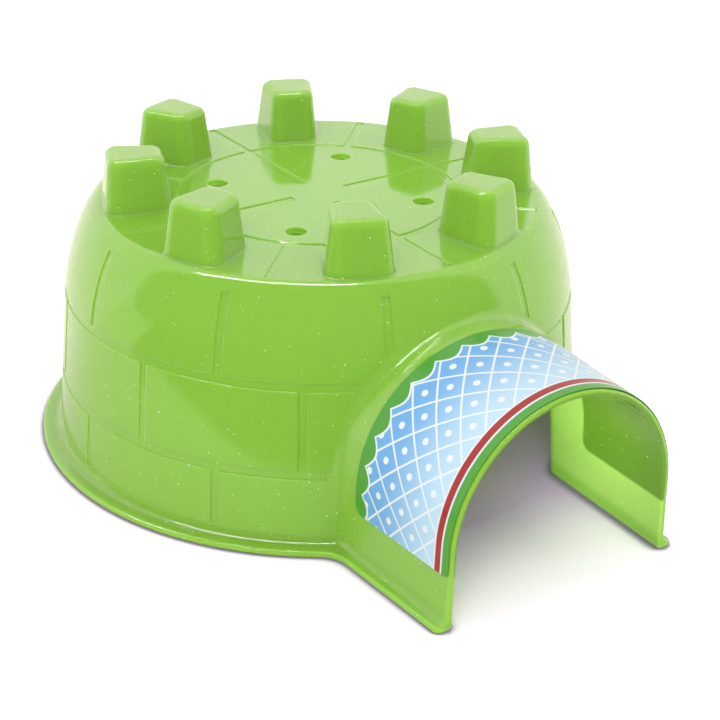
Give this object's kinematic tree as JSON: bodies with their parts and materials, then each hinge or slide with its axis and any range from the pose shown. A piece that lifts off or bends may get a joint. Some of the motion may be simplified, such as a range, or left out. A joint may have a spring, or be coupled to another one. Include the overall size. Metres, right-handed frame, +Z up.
{
  "type": "rodent hideout",
  "caption": "Round castle-shaped plastic hideout for a small rodent, open below, with brick grooves, hollow merlons, air holes and an arched entrance tunnel that carries a thin label.",
  "frame": {"origin": "middle of the footprint's bounding box, on the plane that the hideout stands on", "axes": "+Z up, the tunnel's mouth faces -Y, and the dome's axis is parallel to Z at Y = 13.75 mm"},
  "size_m": [0.14, 0.1675, 0.0735],
  "materials": {
    "green_plastic": "glossy, slightly translucent, with fine pale glitter",
    "label_film": "glossy printed film"
  },
  "bodies": {
    "root": {"shell": "green_plastic", "arch_label": "label_film"}
  },
  "joints": []
}
